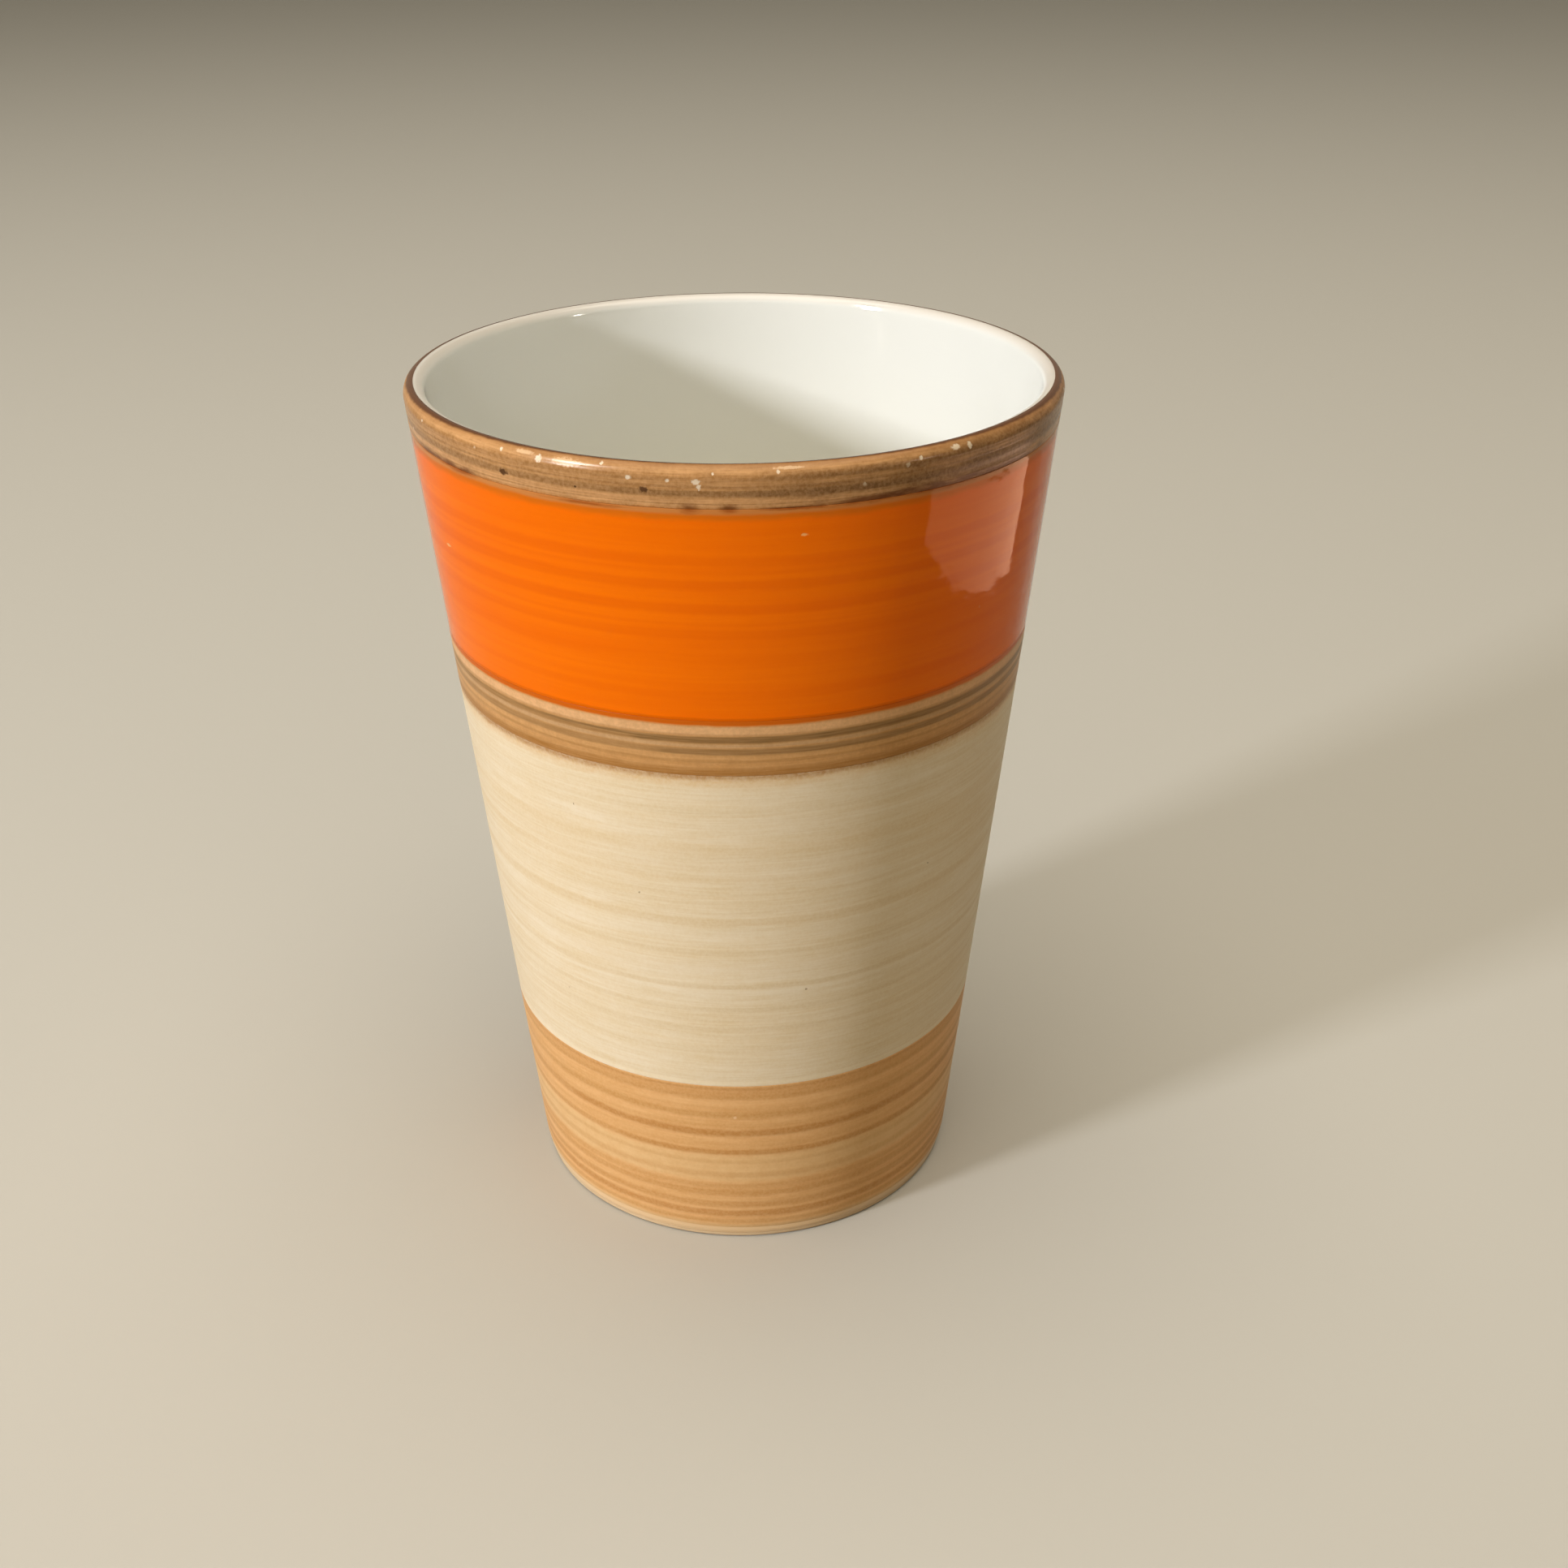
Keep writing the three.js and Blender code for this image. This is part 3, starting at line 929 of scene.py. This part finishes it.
def rim_enamel():
    coat = Coat("rim_look", (196, 143, 88), 0.24, 1.22)
    coat.skin(0.010, 0.0024)
    coat.streaks(1.4, 2.0, 3.1, (158, 110, 60), 0.65, ridge=0.006)
    coat.streaks(3.6, 5.0, 11.7, (226, 172, 114), 0.55)
    coat.lines(RIM_LINES)
    # Darkens the rim's right side in patches
    coat.smudges(RIGHT_SIDE_DARK_PATCHES, (96, 64, 34), 0.65)
    coat.streaks(5.5, 9.0, 17.3, (140, 94, 48), 0.50, ridge=0.004)
    coat.mottle(260.0, (142, 98, 52), 0.35)
    coat.mottle(2400.0, (240, 190, 136), 0.20, ridge=0.002)
    coat.smudges(DARK_UNDER_RIM, (104, 52, 14), 0.85)
    pooled_and_shaded_edge(coat)
    # Painted highlights over the lip's top
    coat.marks(LIP_PAINTED_HIGHLIGHTS, (242, 206, 164), 0.50, ridge=-0.01)
    coat.flecks(900.0, 0.03, 0.26, (238, 216, 184), 0.5, ridge=-0.02)
    coat.marks(DARK_SPECKS, (78, 46, 22), 0.9)
    coat.marks(WORN_FLECKS, (246, 228, 200), 0.72, ridge=-0.03)
    return coat.finish()


def pooled_and_shaded_edge(coat):
    """The rim's paint darkens over the lip, and most along its end, in a dark line.

    The line is partly paint that pooled there and partly painted shade of the lip's inner edge, and it is
    wider at the two sides.
    """
    tree = coat.tree
    from_end = tree.node("ShaderNodeAttribute", attribute_name="from_end").outputs["Fac"]
    from_end = tree.ragged(from_end, tree.noise(coat.known["Position"], 900.0), 0.25)
    coat.lay(tree.ramp(from_end, *DARKENS_OVER), (144, 96, 52), 0.75)
    # The extra width at the two sides is painted shade
    sideways = tree.math("ABSOLUTE", tree.math("SINE", coat.known["Angle"]))
    width = tree.math("MULTIPLY_ADD", sideways, POOL_AND_SHADE_WIDER_AT_SIDES, POOL_AND_SHADE_WIDTH)
    # The dark line along the paint's end: partly pooled paint, partly painted shade of the lip's inner edge
    coat.lay(tree.ramp(from_end, tree.math("ADD", width, POOL_AND_SHADE_SOFTNESS), width), (86, 48, 22), 0.94)


def orange_enamel():
    coat = Coat("orange_look", (254, 120, 0), 0.05, 1.15)
    coat.skin(0.008, 0.004)
    coat.relief(420.0, 0.030)
    coat.streaks(0.30, 0.9, 5.3, (244, 104, 0), 0.40, ridge=0.003)
    coat.streaks(1.8, 1.6, 8.9, (242, 100, 0), 0.25, ridge=0.002)
    coat.lines(ORANGE_LINES)
    coat.smudges(DARK_UNDER_RIM, (150, 66, 4), 0.75)
    coat.marks(ORANGE_CHIPS, (255, 190, 120), 0.8, ridge=-0.02)
    coat.flecks(260.0, 0.03, 0.08, (255, 172, 92), 0.4)
    return coat.finish()


def lined_enamel():
    coat = Coat("lined_look", (208, 154, 94), 0.34, 1.17)
    coat.skin(0.006, 0.0024)
    coat.streaks(3.2, 2.4, 21.3, (184, 134, 76), 0.50, ridge=0.005)
    coat.lines(LINED_LINES)
    coat.streaks(5.5, 7.0, 23.9, (236, 186, 130), 0.25, ridge=0.003)
    coat.mottle(500.0, (160, 112, 62), 0.14)
    coat.mottle(2400.0, (154, 108, 58), 0.18, ridge=0.002)
    coat.lines(ORANGE_BLEED)
    return coat.finish()


def cream_enamel():
    coat = Coat("cream_look", (244, 224, 191), 0.40, 1.17)
    coat.skin(0.008, 0.0026)
    coat.streaks(0.16, 1.2, 31.9, (234, 203, 150), 0.50)
    coat.streaks(0.5, 2.0, 35.3, (226, 197, 146), 0.50, ridge=0.004)
    coat.streaks(1.3, 2.6, 37.1, (226, 198, 150), 0.45, ridge=0.005)
    coat.streaks(3.2, 4.0, 41.7, (253, 240, 218), 0.40, ridge=0.003)
    coat.lines(CREAM_LINES)
    coat.mottle(700.0, (230, 203, 156), 0.18, ridge=0.002)
    coat.mottle(2600.0, (252, 238, 214), 0.20, ridge=0.002)
    coat.marks(PINHOLES, (158, 128, 90), 0.75, ridge=-0.04)
    coat.flecks(230.0, 0.06, 0.035, (190, 162, 120), 0.45, ridge=-0.03)
    return coat.finish()


def foot_enamel():
    coat = Coat("foot_look", (240, 184, 123), 0.40, 1.17)
    coat.skin(0.008, 0.0026)
    coat.streaks(0.5, 1.6, 49.3, (220, 160, 92), 0.45)
    coat.streaks(1.1, 2.2, 51.1, (216, 158, 92), 0.50, ridge=0.004)
    coat.streaks(2.6, 3.2, 57.7, (250, 200, 140), 0.45, ridge=0.004)
    coat.lines(FOOT_LINES)
    coat.mottle(700.0, (216, 156, 90), 0.20, ridge=0.002)
    coat.mottle(2600.0, (252, 210, 154), 0.18, ridge=0.002)
    coat.marks(FOOT_CHIPS, (246, 206, 160), 0.7)
    return coat.finish()


def glaze_coat(name, colour):
    coat = Coat(name, colour, 0.06, 1.5)
    coat.skin(0.030, 0.0010)
    coat.flecks(150.0, 0.06, 0.035, (150, 140, 112), 0.5, ridge=-0.03)
    return coat


def white_glaze_skin():
    """It is tinted down in the cup, and buff clay shows through at the foot. The lip's top is darkened,
    partly by a stain from the rim's paint and partly as painted shade.
    """
    coat = glaze_coat("white_glaze_look", (228, 228, 223))
    height = coat.known["Height"]
    coat.lay(coat.tree.ramp(height, *CUP_TINT), (232, 227, 208), 0.8)
    coat.lay(coat.tree.ramp(height, *FOOT_TINT), (250, 208, 154), 0.95, roughness=0.3)
    # Partly a stain from the rim's paint, partly painted shade that dims the lip's top
    coat.lay(coat.tree.ramp(height, *LIP_STAIN_AND_SHADE), (206, 197, 187), 0.8)
    return coat.finish()


def recess_glaze_skin():
    coat = glaze_coat("recess_glaze_look", (230, 224, 208))
    coat.mottle(120.0, (222, 212, 190), 0.5)
    return coat.finish()


def bare_clay():
    coat = Coat("clay_look", (238, 206, 162), 0.78, 1.36)
    coat.skin(0.010, 0.0120)
    coat.streaks(1.2, 2.5, 71.3, (212, 176, 130), 0.6)
    coat.flecks(900.0, 0.16, 0.28, (168, 138, 100), 0.7, ridge=-0.02)
    return coat.finish()


# The stage

FLOOR_SIZE = 6.0
FLOOR_SEEN = (192, 188, 179)
FLOOR_COLOUR = (120, 113, 100)
SKY_COLOUR = (1.0, 0.91, 0.72, 1.0)
SKY_LEVEL = 0.20
BACKDROP_LEVEL = 0.45

CAMERA_PLACE = (0.0, -0.2352, 0.1708)
CAMERA_PITCH = 0.4669
CAMERA_YAW = 0.0241
CAMERA_ROLL = -0.0037
LENS = 46.02
SENSOR = 36.0


def camera():
    data = bpy.data.cameras.new("camera")
    data.lens, data.sensor_width = LENS, SENSOR
    data.clip_start, data.clip_end = 0.01, 50
    made = bpy.data.objects.new("camera", data)
    turn = Matrix.Rotation(-CAMERA_YAW, 4, "Z") @ Matrix.Rotation(math.pi / 2 - CAMERA_PITCH, 4, "X")
    made.matrix_world = Matrix.Translation(CAMERA_PLACE) @ turn @ Matrix.Rotation(CAMERA_ROLL, 4, "Z")
    bpy.context.scene.collection.objects.link(made)
    bpy.context.scene.camera = made


def panel(name, place, aim, width, height, brightness, colour, gloss_only=False):
    """A soft lamp: a bright rectangle that faces its aim. A white wall in plain light has brightness 1."""
    data = bpy.data.lights.new(name, "AREA")
    data.shape = "RECTANGLE"
    data.size, data.size_y = width, height
    data.energy = brightness * math.pi * width * height
    data.color = colour
    made = bpy.data.objects.new(name, data)
    place = Vector(place)
    turn = (place - Vector(aim)).to_track_quat("Z", "Y").to_matrix().to_4x4()
    made.matrix_world = Matrix.Translation(place) @ turn
    made.visible_camera = False
    made.visible_diffuse = not gloss_only
    bpy.context.scene.collection.objects.link(made)


def looked_at(tree):
    """Whether a ray comes from the camera, straight or by way of gloss or glass."""
    rays = tree.node("ShaderNodeLightPath").outputs
    looked = tree.math("MAXIMUM", rays["Is Camera Ray"], rays["Is Glossy Ray"])
    return tree.math("MAXIMUM", looked, rays["Is Transmission Ray"])


def floor():
    """A plain floor. It looks paler than the light that it throws back on the beaker."""
    mesh = bmesh.new()
    bmesh.ops.create_grid(mesh, x_segments=1, y_segments=1, size=FLOOR_SIZE)
    data = bpy.data.meshes.new("floor")
    mesh.to_mesh(data)
    mesh.free()
    made = bpy.data.objects.new("floor", data)
    material = bpy.data.materials.new("floor")
    material.use_nodes = True
    tree = Tree(material.node_tree)
    shader = tree.nodes["Principled BSDF"]
    colour = tree.mixed(looked_at(tree), linear(FLOOR_COLOUR), linear(FLOOR_SEEN))
    tree.set(shader.inputs["Base Color"], colour)
    shader.inputs["Roughness"].default_value = 0.9
    shader.inputs["Specular IOR Level"].default_value = 0.1
    data.materials.append(material)
    bpy.context.scene.collection.objects.link(made)


def sky():
    """Even light from all round. What the camera and gloss see of it is a pale backdrop."""
    world = bpy.data.worlds.new("sky")
    world.use_nodes = True
    world.node_tree.nodes.clear()
    tree = Tree(world.node_tree)
    level = tree.blended(looked_at(tree), SKY_LEVEL, BACKDROP_LEVEL)
    light = tree.node("ShaderNodeBackground", {"Color": SKY_COLOUR, "Strength": level})
    tree.node("ShaderNodeOutputWorld", {"Surface": light.outputs[0]})
    bpy.context.scene.world = world


# How far away the lamps are, what they face, and the card low on the right that only gloss sees, in metres
NEAR = 1.3
FAR = 6.0
MIDDLE = Vector((0, 0, HEIGHT * MM / 2))
CARD_AIM = Vector((0.0, 0.005, 0.0145))
CARD_PLACE = CARD_AIM + Vector((0.187, 0.0, 0.0))


def from_beaker(angle, elevation, distance):
    """A place at an angle round the beaker and an elevation, from its middle."""
    angle, elevation = math.radians(angle), math.radians(elevation)
    way = Vector((math.sin(angle), -math.cos(angle), 0)) * math.cos(elevation)
    return MIDDLE + (way + Vector((0, 0, math.sin(elevation)))) * distance


bpy.context.scene.view_settings.view_transform = "Standard"
camera()
floor()
sky()
panel("key", from_beaker(-57, 17, NEAR), MIDDLE, 0.15, 0.14, 194.0, (0.97, 0.99, 1.04))
panel("fill", from_beaker(0, 46, NEAR), MIDDLE, 1.6, 1.0, 0.74, (1.0, 0.90, 0.70))
panel("top", (0, 0, NEAR), MIDDLE, 1.2, 1.2, 2.9, (1.0, 0.93, 0.80))
panel("glint", from_beaker(-61, 38, NEAR), MIDDLE, 0.16, 0.22, 240.0, (1.0, 1.0, 1.0), gloss_only=True)
panel("far_glint", from_beaker(64, 9, FAR), MIDDLE, 0.40, 0.30, 90.0, (1.0, 0.88, 0.82), gloss_only=True)
panel("low_card", CARD_PLACE, CARD_AIM, 0.174, 0.027, 4.6, (1.0, 0.58, 0.38), gloss_only=True)

orange = enamel_band(ORANGE_LOW, RIM_LOW, ON_PLAIN_BAND, ORANGE_LINES)
lined = enamel_band(LINED_LOW, ORANGE_LOW, ON_LINED_BAND, LINED_LINES)
cream = enamel_band(CREAM_LOW, LINED_LOW, ON_PLAIN_BAND, CREAM_LINES)
piece(clay_body(), "beaker_clay", "clay_body", bare_clay())
piece(white_glaze(), "beaker_glaze", "white_glaze", white_glaze_skin())
piece(recess_glaze(), "underside_glaze", "recess_glaze", recess_glaze_skin())
piece(rim_band(), "rim_paint", "rim_band", rim_enamel())
piece(orange, "orange_paint", "orange_band", orange_enamel())
piece(lined, "lined_paint", "lined_band", lined_enamel())
piece(cream, "cream_paint", "cream_band", cream_enamel())
piece(foot_band(), "foot_paint", "foot_band", foot_enamel())
